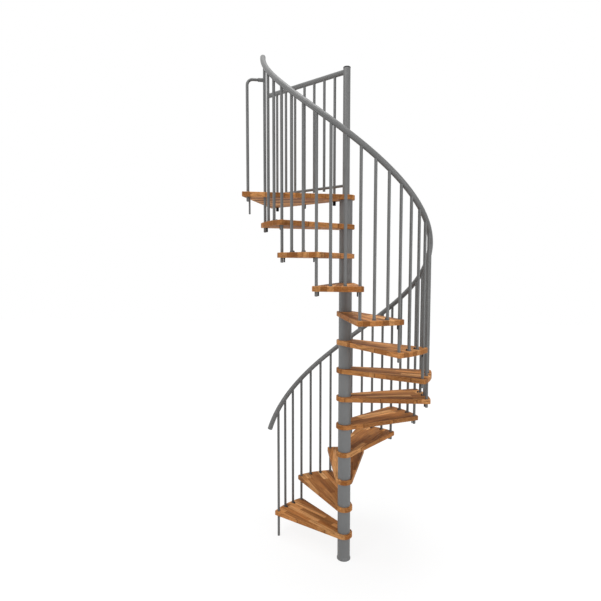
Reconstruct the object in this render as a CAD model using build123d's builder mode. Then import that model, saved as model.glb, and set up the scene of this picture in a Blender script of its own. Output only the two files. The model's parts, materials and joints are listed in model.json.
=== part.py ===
"""Spiral staircase: timber treads threaded on a steel column, with a helical handrail.

The stair climbs clockwise seen from above. Z is the column's axis, the floor is at zero,
+Y points away from the side the stair is looked at, and angles are counted from +X.
"""

import os
from math import asin, ceil, cos, degrees, radians, sin, sqrt

from build123d import *

os.makedirs("parts", exist_ok=True)

# Climb
riser_height = 212.3
tread_count = 12
tread_turn = 26.19
balusters_per_tread = 3
first_angle = 154.3
right_angle = 90
full_turn = 360

# Column
pole_diameter = 52.0
pole_wall = 4.0
spacer_diameter = 96.0
spacer_wall = 3.0
foot_flare = 4.0
foot_height = 22.0
foot_plate_thickness = 6.0
foot_rim_height = 8.0
post_height = 900.0
post_cap_lip = 0.5
post_cap_height = 9.0
post_cap_round = 4.0

# Timber
tread_thickness = 34.0
tread_overhang = 28.0
hub_radius = 64.0
corner_radius = 12.0
edge_round = 3.0
edge_inset = 23.0

# Handrail and balusters
rail_circle_radius = 600.0
rail_diameter = 38.0
rail_height = 1075.5
rail_lower_turn = 13.5
rail_upper_turn = 11.7
rail_cap_length = 10.0
baluster_diameter = 20.0

# Small fittings
sleeve_wall = 0.5
landing_sleeve_wall = 1.6
sleeve_length = 32.0
sleeve_floor = 6.0
sleeve_round = 5.0
ferrule_wall = 0.6
ferrule_flare = 2.4
ferrule_height = 9.0

# Landing
landing_turn = 54.7
landing_overhang = 75.0
landing_corner_radius = 6.0
landing_edge_inset = 26.0
landing_rail_height = 878.0
landing_rail_diameter = 36.0
landing_rail_overhang = 10.0
landing_bar_height = 72.0
landing_first_distance = 106.0
landing_last_inset = 78.0
landing_baluster_count = 7
landing_post_every = 3
landing_drop_length = 24.0
hook_front_inset = 25.0
hook_outer_inset = 32.5
hook_drop = 104.0
hook_bend = 40.0
hook_clamp_diameter = 25.0
hook_clamp_length = 34.0
fixing_rod_diameter = 13.0
fixing_rod_length = 116.0
fixing_rod_setback = 34.0
fixing_rod_round = 3.0

# Fits
bore_gap = 0.3
joint_gap = 0.3

# Worked-out sizes
pole_radius = pole_diameter / 2
spacer_radius = spacer_diameter / 2
rail_radius = rail_diameter / 2
landing_rail_radius = landing_rail_diameter / 2
baluster_radius = baluster_diameter / 2
bore_radius = baluster_radius + bore_gap
foot_radius = spacer_radius + foot_flare
tread_radius = rail_circle_radius + tread_overhang
landing_reach = rail_circle_radius + landing_overhang
baluster_turn = tread_turn / balusters_per_tread
baluster_last = tread_count * balusters_per_tread
landing_top = (tread_count + 1) * riser_height
landing_bottom = landing_top - tread_thickness
landing_angle = first_angle - tread_count * tread_turn - landing_turn / 2
edge_lean = degrees(asin((hub_radius - edge_inset) / rail_circle_radius))
rail_pitch = riser_height * full_turn / tread_turn
centred_up = (Align.CENTER, Align.CENTER, Align.MIN)
centred_down = (Align.CENTER, Align.CENTER, Align.MAX)


def polar(radius, angle):
    """The point at a radius and an angle in degrees."""
    return (radius * cos(radians(angle)), radius * sin(radians(angle)))


def level(height, angle=0):
    """A level plane on the column's axis, with its X turned to an angle."""
    return Plane(origin=(0, 0, height), x_dir=(*polar(1, angle), 0), z_dir=(0, 0, 1))


def baluster_angle(index):
    """Angle of a stair baluster, counted from the bottom one."""
    return first_angle - index * baluster_turn


def baluster_place(index, height):
    """Point on a stair baluster's axis."""
    return (*polar(rail_circle_radius, baluster_angle(index)), height)


def rail_centre(index):
    """Height of the handrail's centre line over a baluster."""
    return rail_height + index * riser_height / balusters_per_tread


def rail_plane(index):
    """Plane across the handrail, its normal up along the rail."""
    angle = baluster_angle(index)
    run = radians(baluster_turn) * rail_circle_radius
    ahead = polar(run, angle - right_angle)
    climb = riser_height / balusters_per_tread
    return Plane(
        origin=baluster_place(index, rail_centre(index)),
        x_dir=(*polar(1, angle), 0),
        z_dir=(*ahead, climb),
    )


def stands_on(index):
    """Number of the tread that a baluster stands on or ends under."""
    return ceil(index / balusters_per_tread)


def is_long(index):
    """Every third baluster runs on through the tread below and ties two treads."""
    return index % balusters_per_tread == 0


def finish(builder, name):
    """Label a piece and write it."""
    builder.part.label = name
    export_step(builder.part, f"parts/{name}.step")


# Column: foot, pole and cap
with BuildPart() as column_foot:
    with BuildSketch(Plane.XZ):
        with BuildLine():
            Polyline(
                (0, 0),
                (foot_radius, 0),
                (foot_radius, foot_rim_height),
                (spacer_radius, foot_height),
                (pole_radius + bore_gap, foot_height),
                (pole_radius + bore_gap, foot_plate_thickness),
                (0, foot_plate_thickness),
                close=True,
            )
        make_face()
    revolve(axis=Axis.Z)
finish(column_foot, "column_foot")

with BuildPart() as centre_pole:
    with BuildSketch(Plane.XY.offset(foot_plate_thickness)):
        Circle(pole_radius)
        Circle(pole_radius - pole_wall, mode=Mode.SUBTRACT)
    extrude(amount=landing_top + post_height - foot_plate_thickness)
finish(centre_pole, "centre_pole")

with BuildPart() as post_cap:
    with BuildSketch(Plane.XY.offset(landing_top + post_height)):
        Circle(pole_radius + post_cap_lip)
    extrude(amount=post_cap_height)
    fillet(post_cap.faces().sort_by(Axis.Z)[-1].edges(), post_cap_round)
finish(post_cap, "post_cap")

# Spacer tubes, each standing on one tread and carrying the next
for number in range(1, tread_count + 2):
    spacer_bottom = (number - 1) * riser_height if number > 1 else foot_height
    spacer_top = number * riser_height - tread_thickness
    with BuildPart() as spacer:
        with BuildSketch(Plane.XY.offset(spacer_bottom)):
            Circle(spacer_radius)
            Circle(spacer_radius - spacer_wall, mode=Mode.SUBTRACT)
        extrude(amount=spacer_top - spacer_bottom)
    finish(spacer, f"spacer_{number:02d}")

# Treads: a wedge whose straight sides run tangent into the round hub
half_turn = tread_turn / 2
side_reach = sqrt(tread_radius**2 - hub_radius**2)
tangent_angle = half_turn + right_angle - edge_lean
tangent_front = Vector(*polar(hub_radius, tangent_angle))
outer_front = tangent_front + Vector(*polar(side_reach, half_turn - edge_lean))
tangent_back = Vector(tangent_front.X, -tangent_front.Y)
outer_back = Vector(outer_front.X, -outer_front.Y)

for number in range(1, tread_count + 1):
    middle_angle = first_angle - (number - 1 / 2) * tread_turn
    tread_plane = level(number * riser_height - tread_thickness, middle_angle)
    with BuildPart() as tread:
        with BuildSketch(tread_plane):
            with BuildLine():
                Line(tangent_front, outer_front)
                ThreePointArc(outer_front, (tread_radius, 0), outer_back)
                Line(outer_back, tangent_back)
                ThreePointArc(tangent_back, (-hub_radius, 0), tangent_front)
            outline = make_face()
            fillet(outline.vertices().sort_by(Axis.X)[-2:], corner_radius)
            Circle(pole_radius + bore_gap, mode=Mode.SUBTRACT)
            with PolarLocations(rail_circle_radius, 2, -half_turn, tread_turn, endpoint=True):
                Circle(bore_radius, mode=Mode.SUBTRACT)
        extrude(amount=tread_thickness)
        flat_faces = tread.faces().filter_by(Axis.Z)
        fillet([edge for face in flat_faces for edge in face.outer_wire().edges()], edge_round)
    finish(tread, f"tread_{number:02d}")

# Landing platform, set out from the middle line of its straight outer edge
landing_plane = level(landing_bottom, landing_angle)
front_angle = landing_turn / 2
front_normal = Vector(*polar(1, front_angle + right_angle - edge_lean))
far_normal = Vector(*polar(1, -front_angle - right_angle))
far_ahead = Vector(*polar(1, -front_angle))


def on_front(reach, inset):
    """Point at a reach, set in from the platform's front edge."""
    return Vector(reach, (hub_radius - inset - front_normal.X * reach) / front_normal.Y)


def on_far(reach, inset):
    """Point at a reach, set in from the platform's far edge."""
    return Vector(reach, (landing_edge_inset - inset - far_normal.X * reach) / far_normal.Y)


def landing_baluster(number):
    """Point of a landing baluster in the platform's plane, counted from the column."""
    return far_ahead * (landing_first_distance + number * landing_baluster_step)


def is_landing_post(number):
    """The landing balusters that run down through the platform."""
    return number % landing_post_every == 0


guard_edge = on_far(landing_reach, landing_edge_inset).length
landing_last_distance = guard_edge - landing_last_inset
landing_baluster_step = (landing_last_distance - landing_first_distance) / (landing_baluster_count - 1)
hub_front = front_normal * hub_radius
hub_far = far_normal * landing_edge_inset + far_ahead * sqrt(hub_radius**2 - landing_edge_inset**2)
hook_point = on_front(landing_reach - hook_outer_inset, hook_front_inset)
fixing_point = hook_point - Vector(0, fixing_rod_setback)
landing_posts = [number for number in range(landing_baluster_count) if is_landing_post(number)]
last_baluster_point = Vector(*polar(rail_circle_radius, front_angle))

with BuildPart() as landing_platform:
    with BuildSketch(landing_plane):
        with BuildLine():
            Polyline(
                hub_front,
                on_front(landing_reach, 0),
                on_far(landing_reach, 0),
                hub_far,
            )
            ThreePointArc(hub_far, (-hub_radius, 0), hub_front)
        outline = make_face()
        fillet(outline.vertices().sort_by(Axis.X)[-2:], landing_corner_radius)
        Circle(pole_radius + bore_gap, mode=Mode.SUBTRACT)
        post_points = [landing_baluster(number) for number in landing_posts]
        with Locations(last_baluster_point, hook_point, *post_points):
            Circle(bore_radius, mode=Mode.SUBTRACT)
    extrude(amount=tread_thickness)
    flat_faces = landing_platform.faces().filter_by(Axis.Z)
    fillet([edge for face in flat_faces for edge in face.outer_wire().edges()], edge_round)
finish(landing_platform, "landing_platform")

# Stair balusters, their tops coped to the handrail
thirds = baluster_last // 3
baluster_groups = {
    "stair_balusters_lower": range(0, thirds + 1),
    "stair_balusters_middle": range(thirds + 1, 2 * thirds + 1),
    "stair_balusters_upper": range(2 * thirds + 1, baluster_last + 1),
}


def baluster_bottom(index):
    """Height of a stair baluster's lower end."""
    if index == 0:
        return 0
    if is_long(index):
        return stands_on(index) * riser_height - tread_thickness - sleeve_length + sleeve_floor
    return stands_on(index) * riser_height


for name, indices in baluster_groups.items():
    with BuildPart() as balusters:
        for index in indices:
            bottom = baluster_bottom(index)
            with Locations(baluster_place(index, bottom)):
                Cylinder(baluster_radius, rail_centre(index) - bottom, align=centred_up)
        for index in indices:
            with Locations(rail_plane(index).location):
                Cylinder(rail_radius + joint_gap, 2 * rail_diameter, mode=Mode.SUBTRACT)
    finish(balusters, name)

# Fittings on the balusters: domed end sleeves under a tread, flared ferrules on top


def domed_sleeve(wall):
    """A sleeve closed by a dome, hanging down from the origin."""
    with BuildPart() as sleeve:
        Cylinder(bore_radius + wall, sleeve_length, align=centred_down)
        fillet(sleeve.faces().sort_by(Axis.Z)[0].edges(), sleeve_round)
        Cylinder(bore_radius, sleeve_length - sleeve_floor, align=centred_down, mode=Mode.SUBTRACT)
    return sleeve.part


end_sleeve = domed_sleeve(sleeve_wall)
landing_sleeve = domed_sleeve(landing_sleeve_wall)

with BuildPart() as ferrule:
    Cone(
        bore_radius + ferrule_wall + ferrule_flare,
        bore_radius + ferrule_wall,
        ferrule_height,
        align=centred_up,
    )
    Cylinder(bore_radius, ferrule_height, align=centred_up, mode=Mode.SUBTRACT)

long_indices = range(balusters_per_tread, baluster_last + 1, balusters_per_tread)
undersides = [stands_on(index) * riser_height - tread_thickness for index in long_indices]
hook_foot = landing_plane.from_local_coords(hook_point)
with BuildPart() as end_sleeves:
    with Locations(*map(baluster_place, long_indices, undersides), hook_foot):
        add(end_sleeve)
finish(end_sleeves, "baluster_end_sleeves")

short_indices = [index for index in range(baluster_last) if not is_long(index)]
with BuildPart() as ferrules:
    with Locations(*map(baluster_place, short_indices, map(baluster_bottom, short_indices))):
        add(ferrule.part)
finish(ferrules, "baluster_ferrules")

# Handrail: a round bar on a left-hand helix over the balusters
rail_lower_index = -rail_lower_turn / baluster_turn
rail_upper_index = baluster_last + rail_upper_turn / baluster_turn
rail_start = rail_centre(rail_lower_index)

with BuildPart() as handrail:
    with BuildLine() as rail_path:
        helix = Helix(
            rail_pitch,
            rail_centre(rail_upper_index) - rail_start,
            rail_circle_radius,
            center=(0, 0, rail_start),
            lefthand=True,
            mode=Mode.PRIVATE,
        )
        add(helix.rotate(Axis.Z, baluster_angle(rail_lower_index)))
    with BuildSketch(rail_plane(rail_lower_index)):
        Circle(rail_radius)
    sweep(path=rail_path.line, is_frenet=True)
finish(handrail, "handrail")

with BuildPart() as handrail_caps:
    with BuildSketch(rail_plane(rail_upper_index)):
        Circle(rail_radius)
    extrude(amount=rail_cap_length)
    with BuildSketch(rail_plane(rail_lower_index)):
        Circle(rail_radius)
    extrude(amount=-rail_cap_length)
finish(handrail_caps, "handrail_end_caps")

# Landing guard: a top rail, and uprights and bar spans, all coped to what they meet
guard_angle = landing_angle - front_angle
guard_length = guard_edge + landing_rail_overhang
guard_top = landing_top + landing_rail_height
guard_bar = landing_top + landing_bar_height
across_guard = Plane(origin=(0, 0, guard_top), x_dir=(0, 0, 1), z_dir=(*polar(1, guard_angle), 0))
across_bar = Plane(origin=(0, 0, guard_bar), x_dir=(0, 0, 1), z_dir=(*polar(1, guard_angle), 0))

with BuildPart() as landing_top_rail:
    with BuildSketch(across_guard):
        Circle(landing_rail_radius)
    extrude(amount=guard_length)
    with BuildSketch(Plane.XY.offset(guard_top - landing_rail_diameter)):
        Circle(pole_radius + joint_gap)
    extrude(amount=2 * landing_rail_diameter, mode=Mode.SUBTRACT)
finish(landing_top_rail, "landing_top_rail")

upright_points = []
for number in range(landing_baluster_count):
    point = landing_plane.from_local_coords(landing_baluster(number))
    upright_bottom = guard_bar - landing_drop_length
    if is_landing_post(number):
        upright_bottom = landing_bottom - sleeve_length + sleeve_floor
    upright_points.append((point.X, point.Y, upright_bottom))

with BuildPart() as landing_balusters:
    for point in upright_points:
        with Locations(point):
            Cylinder(baluster_radius, guard_top - point[2], align=centred_up)
    with BuildSketch(across_guard):
        Circle(landing_rail_radius + joint_gap)
    extrude(amount=guard_length, mode=Mode.SUBTRACT)
finish(landing_balusters, "landing_balusters")

with BuildPart() as landing_bottom_bar:
    with BuildSketch(across_bar):
        Circle(baluster_radius)
    extrude(amount=landing_last_distance)
    with BuildSketch(Plane.XY.offset(guard_bar - baluster_diameter)):
        Circle(pole_radius + joint_gap)
        with Locations(*[point[:2] for point in upright_points]):
            Circle(baluster_radius + joint_gap)
    extrude(amount=2 * baluster_diameter, mode=Mode.SUBTRACT)
finish(landing_bottom_bar, "landing_bottom_bar")

with BuildPart() as landing_sleeves:
    for point in post_points:
        with Locations(landing_plane.from_local_coords(point)):
            add(landing_sleeve)
finish(landing_sleeves, "landing_end_sleeves")

# Hand hook: a rod up from the platform's corner, bent over to the last baluster
hook_target = landing_plane.from_local_coords(last_baluster_point)
hook_run = hook_target - hook_foot
hook_arm = Vector(hook_run.X, hook_run.Y, 0)
arm_direction = hook_arm.normalized()
hook_low = landing_bottom - sleeve_length + sleeve_floor
hook_high = rail_centre(baluster_last) - hook_drop
arm_end = hook_arm.length - baluster_radius - joint_gap
clamp_start = arm_end - hook_clamp_length
hook_base = Vector(hook_foot.X, hook_foot.Y, hook_low)
hook_top = Vector(hook_foot.X, hook_foot.Y, hook_high)

with BuildPart() as hook_rod:
    with BuildLine() as hook_path:
        FilletPolyline(hook_base, hook_top, hook_top + arm_direction * clamp_start, radius=hook_bend)
    with BuildSketch(Plane(origin=hook_base, z_dir=(0, 0, 1))):
        Circle(baluster_radius)
    sweep(path=hook_path.line)
finish(hook_rod, "hook_rod")

clamp_plane = Plane(origin=hook_top + arm_direction * clamp_start, z_dir=arm_direction)
with BuildPart() as hook_clamp:
    with BuildSketch(clamp_plane):
        Circle(hook_clamp_diameter / 2)
    extrude(amount=hook_clamp_length + baluster_radius)
    with Locations(baluster_place(baluster_last, hook_high)):
        Cylinder(baluster_radius + joint_gap, 2 * hook_clamp_diameter, mode=Mode.SUBTRACT)
finish(hook_clamp, "hook_clamp")

# Fixing rod under the platform's outer edge
fixing_place = landing_plane.from_local_coords(fixing_point)
with BuildPart() as fixing_rod:
    with Locations((fixing_place.X, fixing_place.Y, landing_bottom)):
        Cylinder(fixing_rod_diameter / 2, fixing_rod_length, align=centred_down)
    fillet(fixing_rod.faces().sort_by(Axis.Z)[0].edges(), fixing_rod_round)
finish(fixing_rod, "fixing_rod")
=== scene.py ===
"""Looks of the spiral staircase: grey coated steel, oiled laminated timber and dark fittings."""
import json
import math

import bmesh
import bpy
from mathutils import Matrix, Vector


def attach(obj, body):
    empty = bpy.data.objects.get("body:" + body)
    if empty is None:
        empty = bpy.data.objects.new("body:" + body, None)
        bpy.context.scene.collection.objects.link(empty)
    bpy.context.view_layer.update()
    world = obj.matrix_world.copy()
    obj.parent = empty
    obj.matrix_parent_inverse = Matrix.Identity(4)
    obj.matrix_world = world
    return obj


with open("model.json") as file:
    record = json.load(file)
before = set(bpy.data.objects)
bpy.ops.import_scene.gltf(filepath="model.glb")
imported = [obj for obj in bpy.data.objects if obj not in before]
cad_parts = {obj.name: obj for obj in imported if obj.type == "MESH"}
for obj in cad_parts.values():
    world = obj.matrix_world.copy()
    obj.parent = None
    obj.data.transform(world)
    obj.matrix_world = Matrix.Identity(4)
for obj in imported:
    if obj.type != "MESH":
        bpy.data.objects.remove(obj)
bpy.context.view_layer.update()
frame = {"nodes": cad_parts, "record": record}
nodes = frame["nodes"]

# Bolt caps under the tread corners and screw caps beside the short balusters, in metres
BOLT_RADIUS = 0.0044
BOLT_LENGTH = 0.030
SCREW_RADIUS = 0.0056
SCREW_HEIGHT = 0.012
FLANGE_WIDTH = 0.0012
FLANGE_DEPTH = 0.0024
CAP_SIDES = 24
DOME_ANGLES = range(0, 80, 13)

# How far inward and sideways of a baluster's axis each cap sits, in metres
FRONT_BOLT = (-0.001, 0.0160)
BACK_BOLT = (0.0137, 0.0094)
SCREW_INWARD = 0.0202
BALUSTERS_PER_TREAD = 3

# Laminated board, in metres; even and odd treads come from two batches, and the platform follows on
STAVE_WIDTH = 0.042
STAVE_LENGTH = 0.34
FINGER_PITCH = 0.0084
FINGER_DEPTH = 0.010
ROW_SHIFTS = 4
BOARD_BATCHES = (208, 39)

# Timber colours; the tones run from the darkest stave to the palest
WOOD_TONES = ((0.00, (0.150, 0.055, 0.016)), (0.28, (0.304, 0.128, 0.037)),
              (0.62, (0.490, 0.221, 0.070)), (1.00, (0.830, 0.458, 0.193)))
WOOD_EDGE = (0.372, 0.162, 0.049, 1.0)
WOOD_RED = (1.000, 0.830, 0.660, 1.0)
WOOD_VEIN = (0.128, 0.043, 0.012, 1.0)
WOOD_PALE = (0.700, 0.365, 0.155, 1.0)
WOOD_PORE = (0.095, 0.033, 0.010, 1.0)

# Grain: rates per metre along and across the stave, the part of the noise that shows, its share, and how
# far apart in the log two staves are cut
FIGURE_RATES = (3.6, 54.0)
FIGURE_RANGE = (0.41, 0.68)
FIGURE_SHARE = 0.80
FIGURE_SPREAD = 10.5
FIBRE_RATES = (9.0, 330.0)
FIBRE_RANGE = (0.42, 0.74)
FIBRE_SHARE = 0.42
PORE_RATES = (60.0, 900.0)
PORE_RANGE = (0.60, 0.74)
PORE_SHARE = 0.5
RING_ACROSS_RATE = 60.0
RING_UP_RATE = 260.0
RING_RANGE = (0.35, 0.65)
RING_SHARES = (0.1, 0.9)
RING_SPREAD = 7.0

# Faces of a board: the slant at which each treatment sets in, and its share
END_SLANT = (0.55, 0.85)
END_SHARE = 0.75
UPRIGHT_SLANT = (0.3, 0.7)
UPRIGHT_SHARE = 0.4
# Rounded edges are paled, partly as wear and partly as a painted highlight
WORN_HIGHLIGHT_SLANT = (0.06, 0.25)
WORN_HIGHLIGHT_SHARE = 0.22

# Glue lines: their soft half width as a part of a stave's width or length, and their share
SEAM_HALF_WIDTH = (0.006, 0.022)
SEAM_SHARE = 0.75
JOINT_HALF_WIDTH = (0.0006, 0.0022)
JOINT_SHARE = 0.6

# Surface of the timber, the coat and the plastic; relief depths in metres
MIDDLE_RANGE = (0.3, 0.7)
WOOD_ROUGHNESS = (0.50, 0.66)
WOOD_SHINE = 0.06
WOOD_RELIEF = 0.0006
WOOD_RELIEF_SHARE = 0.25
FIBRE_RELIEF_SHARE = 0.5
PORE_RELIEF_SHARE = 0.4
COAT_RANGE = (0.32, 0.68)
COAT_CLOUD_RATE = 6.0
COAT_SPECK_RATE = 420.0
COAT_SPECK_SHARE = 0.2
COAT_SMOOTHER = 0.05
COAT_ROUGHER = 0.07
COAT_SHINE = 0.3
PEEL_RATE = 700.0
PEEL_RELIEF = 0.0004
PEEL_RELIEF_SHARE = 0.12
PLASTIC_CLOUD_RATE = 30.0
PLASTIC_GRAIN_RATE = 900.0
PLASTIC_ROUGHNESS = (0.42, 0.6)
PLASTIC_SHINE = 0.15
PLASTIC_RELIEF = 0.0003
PLASTIC_RELIEF_SHARE = 0.2

# Floor, in metres from the stair's foot: its tones to the object, and its tone and glow as seen
FLOOR_WIDTH = 30.0
BOUNCE_REACH = (0.3, 1.4)
BOUNCE_TONES = (0.98, 0.72)
SEEN_TONE = 0.14
GLOW_REACH = (0.8, 5.0)
GLOW_TONES = (0.86, 0.94)

# World strength on the object and as seen
AMBIENT_LIGHT = 0.50
BACKDROP_WHITE = 1.0

# Lamps: place, point looked at, width in metres and power in watts
LAMPS = {
    "key_light": ((-2.4, -3.0, 5.2), (-0.1, 0.0, 2.2), 2.2, 68.0),
    "front_light": ((0.9, -3.9, 3.6), (0.0, 0.0, 1.8), 2.2, 20.0),
    "right_light": ((3.2, -2.6, 2.0), (0.0, 0.0, 1.4), 2.4, 58.0),
    "left_light": ((-3.6, -0.2, 2.2), (0.0, 0.0, 1.8), 2.4, 28.0),
    "top_light": ((0.0, -0.6, 9.0), (0.0, 0.0, 0.0), 4.0, 350.0),
}

# Camera: lens and sensor in millimetres, place in metres, angles below level and to the left in degrees
CAMERA_SENSOR = 36.0
CAMERA_LENS = 28.612
CAMERA_PLACE = (0.0, -3.5492, 2.2517)
CAMERA_DIP = 4.205
CAMERA_TURN = 5.377


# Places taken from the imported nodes, in metres and degrees
def polar(radius, angle):
    """Point at a radius and an angle in degrees."""
    return radius * math.cos(math.radians(angle)), radius * math.sin(math.radians(angle))


def middle_angle(item):
    """Direction in which a tread reaches out from the column."""
    middle = sum((face.center * face.area for face in item.data.polygons), Vector())
    return math.degrees(math.atan2(middle.y, middle.x))


def underside(item):
    """Height of a tread's lower face."""
    return min(vertex.co.z for vertex in item.data.vertices)


def upperside(item):
    """Height of a tread's upper face."""
    return max(vertex.co.z for vertex in item.data.vertices)


treads = [nodes[name] for name in sorted(nodes) if name.startswith("tread_")]
half_turn = (middle_angle(treads[0]) - middle_angle(treads[1])) / 2
baluster_reaches = [vertex.co.xy.length for vertex in nodes["stair_balusters_lower"].data.vertices]
rail_circle = (min(baluster_reaches) + max(baluster_reaches)) / 2


# Node helpers
class Tree:
    """A small builder for a node tree."""

    def __init__(self, tree):
        self.tree = tree

    def add(self, kind, **values):
        """A node of a kind, with its properties set by name."""
        node = self.tree.nodes.new(kind)
        for key, value in values.items():
            setattr(node, key, value)
        return node

    def put(self, value, socket):
        """Link an output to a socket, or set the socket's value."""
        if isinstance(value, bpy.types.NodeSocket):
            self.tree.links.new(value, socket)
        else:
            socket.default_value = value

    def math(self, operation, a, b=0.0, c=0.0):
        """A math node's output."""
        node = self.add("ShaderNodeMath", operation=operation)
        for socket, value in zip(node.inputs, (a, b, c)):
            self.put(value, socket)
        return node.outputs[0]

    def combine(self, x=0.0, y=0.0, z=0.0):
        """A vector from three numbers."""
        node = self.add("ShaderNodeCombineXYZ")
        for socket, value in zip(node.inputs, (x, y, z)):
            self.put(value, socket)
        return node.outputs[0]

    def coordinate(self, kind):
        """A texture coordinate of a kind."""
        return self.add("ShaderNodeTexCoord").outputs[kind]

    def turned(self, vector, angle):
        """A vector's three parts in axes turned about Z."""
        turn = self.add("ShaderNodeMapping")
        turn.inputs["Rotation"].default_value = (0.0, 0.0, -math.radians(angle))
        self.put(vector, turn.inputs["Vector"])
        split = self.add("ShaderNodeSeparateXYZ")
        self.put(turn.outputs[0], split.inputs[0])
        return split.outputs

    def chance(self, *parts):
        """A random number for each set of whole numbers."""
        node = self.add("ShaderNodeTexWhiteNoise", noise_dimensions="3D")
        self.put(self.combine(*parts), node.inputs["Vector"])
        return node.outputs["Value"]

    def noise(self, vector, scale=1.0, detail=2.0, rough=0.5, distortion=0.0):
        """A noise texture's value."""
        node = self.add("ShaderNodeTexNoise")
        self.put(vector, node.inputs["Vector"])
        node.inputs["Scale"].default_value = scale
        node.inputs["Detail"].default_value = detail
        node.inputs["Roughness"].default_value = rough
        node.inputs["Distortion"].default_value = distortion
        return node.outputs["Fac"]

    def ramp(self, value, stops):
        """A colour ramp over a value."""
        node = self.add("ShaderNodeValToRGB")
        band = node.color_ramp
        while len(band.elements) < len(stops):
            band.elements.new(0.5)
        for element, (place, colour) in zip(band.elements, stops):
            element.position = place
            element.color = (*colour, 1.0)
        self.put(value, node.inputs[0])
        return node.outputs[0]

    def span(self, value, low, high, to_low, to_high):
        """A value moved from one range to another, held at its ends."""
        node = self.add("ShaderNodeMapRange")
        for socket, number in zip(node.inputs, (value, low, high, to_low, to_high)):
            self.put(number, socket)
        return node.outputs[0]

    def mix(self, factor, a, b, blend="MIX"):
        """Two colours mixed."""
        node = self.add("ShaderNodeMix", data_type="RGBA", blend_type=blend)
        for value, socket in ((factor, node.inputs["Factor"]), (a, node.inputs[6]), (b, node.inputs[7])):
            self.put(value, socket)
        return node.outputs[2]

    def bump(self, height, strength, distance):
        """A bump normal."""
        node = self.add("ShaderNodeBump")
        node.inputs["Strength"].default_value = strength
        node.inputs["Distance"].default_value = distance
        self.put(height, node.inputs["Height"])
        return node.outputs[0]

    def seen(self):
        """One for rays from the camera, a reflection or glass, else zero."""
        rays = self.add("ShaderNodeLightPath").outputs
        mirrored = self.math("MAXIMUM", rays["Is Glossy Ray"], rays["Is Transmission Ray"])
        return self.math("MAXIMUM", rays["Is Camera Ray"], mirrored)


def new_material(name):
    """A material with its tree, principled shader and object coordinates."""
    material = bpy.data.materials.new(name)
    material.use_nodes = True
    tree = Tree(material.node_tree)
    shader = material.node_tree.nodes["Principled BSDF"]
    return material, tree, shader, tree.coordinate("Object")


def coated_metal(name, pale, dark, rough):
    """Satin powder coat: faint cloudiness, orange-peel bump and small changes of gloss."""
    material, t, shader, place = new_material(name)
    cloud = t.noise(place, COAT_CLOUD_RATE, detail=3.0, rough=0.55)
    speck = t.noise(place, COAT_SPECK_RATE, rough=0.6)
    peel = t.noise(place, PEEL_RATE, detail=1.0, rough=0.4)
    cloud_part = t.math("MULTIPLY", cloud, 1.0 - COAT_SPECK_SHARE)
    tone = t.math("ADD", cloud_part, t.math("MULTIPLY", speck, COAT_SPECK_SHARE))
    t.put(t.ramp(tone, list(zip(COAT_RANGE, (dark, pale)))), shader.inputs["Base Color"])
    gloss = t.span(cloud, *MIDDLE_RANGE, rough - COAT_SMOOTHER, rough + COAT_ROUGHER)
    t.put(gloss, shader.inputs["Roughness"])
    t.put(t.bump(peel, PEEL_RELIEF_SHARE, PEEL_RELIEF), shader.inputs["Normal"])
    shader.inputs["Specular IOR Level"].default_value = COAT_SHINE
    return material


def moulded_plastic(name, pale, dark):
    """Dark moulded plastic with a fine grain."""
    material, t, shader, place = new_material(name)
    cloud = t.noise(place, PLASTIC_CLOUD_RATE)
    grain = t.noise(place, PLASTIC_GRAIN_RATE, rough=0.6)
    t.put(t.ramp(cloud, list(zip(MIDDLE_RANGE, (dark, pale)))), shader.inputs["Base Color"])
    t.put(t.span(grain, *MIDDLE_RANGE, *PLASTIC_ROUGHNESS), shader.inputs["Roughness"])
    t.put(t.bump(grain, PLASTIC_RELIEF_SHARE, PLASTIC_RELIEF), shader.inputs["Normal"])
    shader.inputs["Specular IOR Level"].default_value = PLASTIC_SHINE
    return material


def stave_layout(t, along, across, seed):
    """Staves counted across and along the board, with zigzag ends, and two chances for each of them."""
    row_shift = STAVE_WIDTH * (seed % ROW_SHIFTS) / ROW_SHIFTS
    rows = t.math("DIVIDE", t.math("ADD", across, row_shift), STAVE_WIDTH)
    row = t.math("FLOOR", rows)
    finger_slope = 2 * FINGER_DEPTH / FINGER_PITCH
    zigzag = t.math("MULTIPLY", t.math("PINGPONG", across, FINGER_PITCH / 2), finger_slope)
    start = t.math("MULTIPLY", t.chance(row, float(seed)), STAVE_LENGTH)
    runs = t.math("DIVIDE", t.math("ADD", t.math("ADD", along, start), zigzag), STAVE_LENGTH)
    run = t.math("FLOOR", runs)
    return rows, runs, t.chance(row, run, float(seed)), t.chance(row, run, seed + 0.5)


def glue_lines(t, rows, runs):
    """Share of glue, from the seams between staves and from the finger joints."""
    lines = ((rows, SEAM_HALF_WIDTH, SEAM_SHARE), (runs, JOINT_HALF_WIDTH, JOINT_SHARE))
    shares = []
    for count, half_width, share in lines:
        part = t.math("FRACT", count)
        distance = t.math("MINIMUM", part, t.math("SUBTRACT", 1.0, part))
        shares.append(t.span(distance, *half_width, share, 0.0))
    return t.math("MAXIMUM", *shares)


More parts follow.
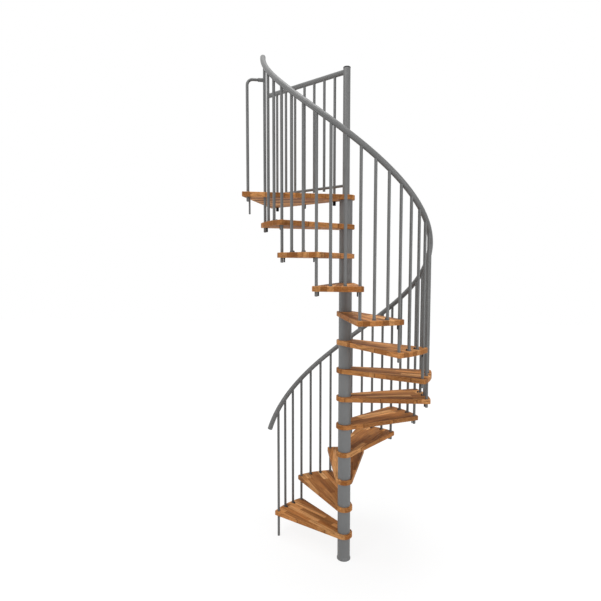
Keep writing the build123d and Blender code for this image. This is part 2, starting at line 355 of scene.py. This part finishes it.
def timber(name, angle, seed):
    """Oiled laminated hardwood: staves along the tread, finger joints, grain, pores and end grain."""
    material, t, shader, place = new_material(name)
    along, across, up = t.turned(place, angle)
    rows, runs, tone, redness = stave_layout(t, along, across, seed)
    glue = glue_lines(t, rows, runs)

    def grain(rates, offset=0.0):
        """Coordinates stretched along the stave."""
        return t.combine(t.math("MULTIPLY_ADD", along, rates[0], offset),
                         t.math("MULTIPLY_ADD", across, rates[1], offset),
                         t.math("MULTIPLY", up, rates[1]))

    # Figure, fibre and pores along the stave, each stave with its own cut of the log, and rings at its end
    figure_cut = t.math("MULTIPLY", tone, FIGURE_SPREAD)
    figure = t.noise(grain(FIGURE_RATES, figure_cut), detail=4.0, rough=0.6, distortion=1.0)
    fibre = t.noise(grain(FIBRE_RATES), detail=3.0, rough=0.65)
    pores = t.noise(grain(PORE_RATES), detail=1.0)
    ring_place = t.combine(t.math("MULTIPLY", across, RING_ACROSS_RATE),
                           t.math("MULTIPLY", up, RING_UP_RATE),
                           t.math("MULTIPLY", tone, RING_SPREAD))
    rings = t.noise(ring_place, detail=3.0, rough=0.6, distortion=0.6)

    # Which way the face looks: along the stave, level, or on the rounded edge between
    side = t.turned(t.coordinate("Normal"), angle)
    end_face = t.span(t.math("ABSOLUTE", side["X"]), *END_SLANT, 0.0, END_SHARE)
    level_face = t.math("ABSOLUTE", side["Z"])
    upright_face = t.span(level_face, *UPRIGHT_SLANT, UPRIGHT_SHARE, 0.0)
    round_edge = t.math("MINIMUM", level_face, t.math("SUBTRACT", 1.0, level_face))

    # Colour, one layer over the other
    evened = t.mix(upright_face, t.ramp(tone, WOOD_TONES), WOOD_EDGE)
    base = t.mix(redness, evened, WOOD_RED, "MULTIPLY")
    veined = t.mix(t.span(figure, *FIGURE_RANGE, 0.0, FIGURE_SHARE), base, WOOD_VEIN)
    streaked = t.mix(t.span(fibre, *FIBRE_RANGE, 0.0, FIBRE_SHARE), veined, WOOD_PALE)
    pored = t.mix(t.span(pores, *PORE_RANGE, 0.0, PORE_SHARE), streaked, WOOD_PORE)
    end_grain = t.mix(t.span(rings, *RING_RANGE, *RING_SHARES), base, WOOD_VEIN)
    jointed = t.mix(glue, t.mix(end_face, pored, end_grain), WOOD_PORE)
    # Rounded edges paled: partly wear, partly a painted highlight
    colour = t.mix(t.span(round_edge, *WORN_HIGHLIGHT_SLANT, 0.0, WORN_HIGHLIGHT_SHARE), jointed, WOOD_PALE)
    t.put(colour, shader.inputs["Base Color"])

    # Surface: raised fibre, sunken pores and glue lines
    sunken = t.math("ADD", glue, t.math("MULTIPLY", pores, PORE_RELIEF_SHARE))
    height = t.math("SUBTRACT", t.math("MULTIPLY", fibre, FIBRE_RELIEF_SHARE), sunken)
    t.put(t.bump(height, WOOD_RELIEF_SHARE, WOOD_RELIEF), shader.inputs["Normal"])
    t.put(t.span(fibre, *MIDDLE_RANGE, *WOOD_ROUGHNESS), shader.inputs["Roughness"])
    shader.inputs["Specular IOR Level"].default_value = WOOD_SHINE
    return material


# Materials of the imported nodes
COLUMN = coated_metal("grey_column_coat", (0.170, 0.173, 0.174), (0.144, 0.147, 0.148), rough=0.46)
POST = coated_metal("grey_post_coat", (0.162, 0.163, 0.162), (0.134, 0.135, 0.134), rough=0.42)
ROD = coated_metal("grey_rod_coat", (0.142, 0.143, 0.142), (0.118, 0.119, 0.118), rough=0.42)
DARK = moulded_plastic("dark_fitting", (0.036, 0.036, 0.036), (0.022, 0.022, 0.022))
BLACK = moulded_plastic("black_cap", (0.006, 0.006, 0.006), (0.003, 0.003, 0.003))
FERRULE = moulded_plastic("grey_ferrule", (0.110, 0.110, 0.110), (0.085, 0.085, 0.085))

slots = {part["node"]: part["material_slot"] for part in frame["record"]["subparts"]}


def board(item):
    """The timber of a tread, or of the platform as the next one up."""
    number = treads.index(item) + 1 if item in treads else len(treads) + 1
    seed = BOARD_BATCHES[number % 2] + number
    return timber(f"oiled_timber_{number:02d}", middle_angle(item), seed)


def material_of(name, item):
    """The material of a node, by its slot and its name."""
    if slots[name] == "oiled_wood":
        return board(item)
    if name == "baluster_ferrules":
        return FERRULE
    if name == "landing_end_sleeves":
        return BLACK
    if slots[name] == "dark_fitting":
        return DARK
    if name == "centre_pole":
        return POST
    if name.startswith("spacer") or name == "column_foot":
        return COLUMN
    return ROD


for name, item in nodes.items():
    item.data.materials.clear()
    item.data.materials.append(material_of(name, item))


# Bolt caps and screw caps
def turned_mesh(name, profile):
    """A closed round body from radius and height pairs, listed from the top down."""
    mesh = bmesh.new()
    angles = [360.0 * side / CAP_SIDES for side in range(CAP_SIDES)]
    rings = [[mesh.verts.new((*polar(radius, angle), z)) for angle in angles] for radius, z in profile]
    for upper, lower in zip(rings, rings[1:]):
        for i in range(CAP_SIDES):
            j = (i + 1) % CAP_SIDES
            mesh.faces.new((upper[i], lower[i], lower[j], upper[j]))
    mesh.faces.new(rings[0])
    mesh.faces.new(rings[-1][::-1])
    for face in mesh.faces:
        face.smooth = len(face.verts) == 4
    data = bpy.data.meshes.new(name)
    mesh.to_mesh(data)
    mesh.free()
    return data


def domed_cap(name, radius, length, material):
    """A round cap with a flange at its root and a domed end, pointing down from its origin."""
    flange = [(radius + FLANGE_WIDTH, 0.0), (radius + FLANGE_WIDTH, -FLANGE_DEPTH)]
    root = [(radius, -FLANGE_DEPTH - FLANGE_WIDTH)]
    dome = []
    for angle in DOME_ANGLES:
        across, up = polar(radius, angle)
        dome.append((across, radius - up - length))
    data = turned_mesh(name, flange + root + dome)
    data.materials.append(material)
    return data


def add_cap(name, data, place, upright=False):
    """A cap as a piece of the stair."""
    cap = bpy.data.objects.new(name, data)
    cap.location = place
    cap.rotation_euler = (math.pi if upright else 0.0, 0.0, 0.0)
    bpy.context.scene.collection.objects.link(cap)
    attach(cap, "root")


def beside(angle, inward, onward):
    """Point near a baluster's axis: so far towards the column, and so far to greater angles."""
    x, y = polar(rail_circle - inward, angle)
    ahead = polar(onward, angle + 90.0)
    return x + ahead[0], y + ahead[1]


bolt_cap = domed_cap("corner_cap", BOLT_RADIUS, BOLT_LENGTH, BLACK)
screw_cap = domed_cap("screw_cap", SCREW_RADIUS, SCREW_HEIGHT, DARK)
for number, tread in enumerate(treads, 1):
    middle = middle_angle(tread)
    for label, way, (inward, sideways) in (("front", 1.0, FRONT_BOLT), ("back", -1.0, BACK_BOLT)):
        corner = beside(middle + way * half_turn, inward, -way * sideways)
        add_cap(f"corner_cap_{number:02d}_{label}", bolt_cap, (*corner, underside(tread)))
        foot = beside(middle + way * half_turn / BALUSTERS_PER_TREAD, SCREW_INWARD, 0.0)
        add_cap(f"screw_cap_{number:02d}_{label}", screw_cap, (*foot, upperside(tread)), upright=True)


# Floor: pale to the object, palest near the stair's foot, and white as seen but for a soft shadow
def pale_floor():
    """The floor's material."""
    material = bpy.data.materials.new("pale_floor")
    material.use_nodes = True
    t = Tree(material.node_tree)
    material.node_tree.nodes.remove(material.node_tree.nodes["Principled BSDF"])
    reach = t.add("ShaderNodeVectorMath", operation="LENGTH")
    t.put(t.coordinate("Object"), reach.inputs[0])
    distance = reach.outputs["Value"]
    tone = t.span(t.seen(), 0.0, 1.0, t.span(distance, *BOUNCE_REACH, *BOUNCE_TONES), SEEN_TONE)
    diffuse = t.add("ShaderNodeBsdfDiffuse")
    t.put(t.combine(tone, tone, tone), diffuse.inputs["Color"])
    glow = t.add("ShaderNodeEmission")
    white = t.span(distance, *GLOW_REACH, *GLOW_TONES)
    t.put(t.math("MULTIPLY", t.seen(), white), glow.inputs["Strength"])
    both = t.add("ShaderNodeAddShader")
    t.put(diffuse.outputs[0], both.inputs[0])
    t.put(glow.outputs[0], both.inputs[1])
    t.put(both.outputs[0], material.node_tree.nodes["Material Output"].inputs["Surface"])
    return material


bpy.ops.mesh.primitive_plane_add(size=FLOOR_WIDTH)
floor = bpy.context.object
floor.name = "floor"
floor.data.materials.append(pale_floor())

# World
world = bpy.data.worlds.new("studio")
bpy.context.scene.world = world
world.use_nodes = True
sky = Tree(world.node_tree)
backdrop = world.node_tree.nodes["Background"]
backdrop.inputs["Color"].default_value = (1.0, 1.0, 1.0, 1.0)
sky.put(sky.span(sky.seen(), 0.0, 1.0, AMBIENT_LIGHT, BACKDROP_WHITE), backdrop.inputs["Strength"])

# Lamps
for name, (place, target, width, power) in LAMPS.items():
    lamp = bpy.data.lights.new(name, "AREA")
    lamp.shape = "DISK"
    lamp.size = width
    lamp.energy = power
    lamp_item = bpy.data.objects.new(name, lamp)
    lamp_item.location = place
    lamp_item.rotation_euler = (Vector(target) - Vector(place)).to_track_quat("-Z", "Y").to_euler()
    bpy.context.scene.collection.objects.link(lamp_item)

# Camera
camera_data = bpy.data.cameras.new("camera")
camera_data.sensor_fit = "HORIZONTAL"
camera_data.sensor_width = CAMERA_SENSOR
camera_data.lens = CAMERA_LENS
camera = bpy.data.objects.new("camera", camera_data)
camera.location = CAMERA_PLACE
camera.rotation_euler = (math.radians(90.0 - CAMERA_DIP), 0.0, math.radians(CAMERA_TURN))
bpy.context.scene.collection.objects.link(camera)
bpy.context.scene.camera = camera
bpy.context.scene.view_settings.view_transform = "Standard"
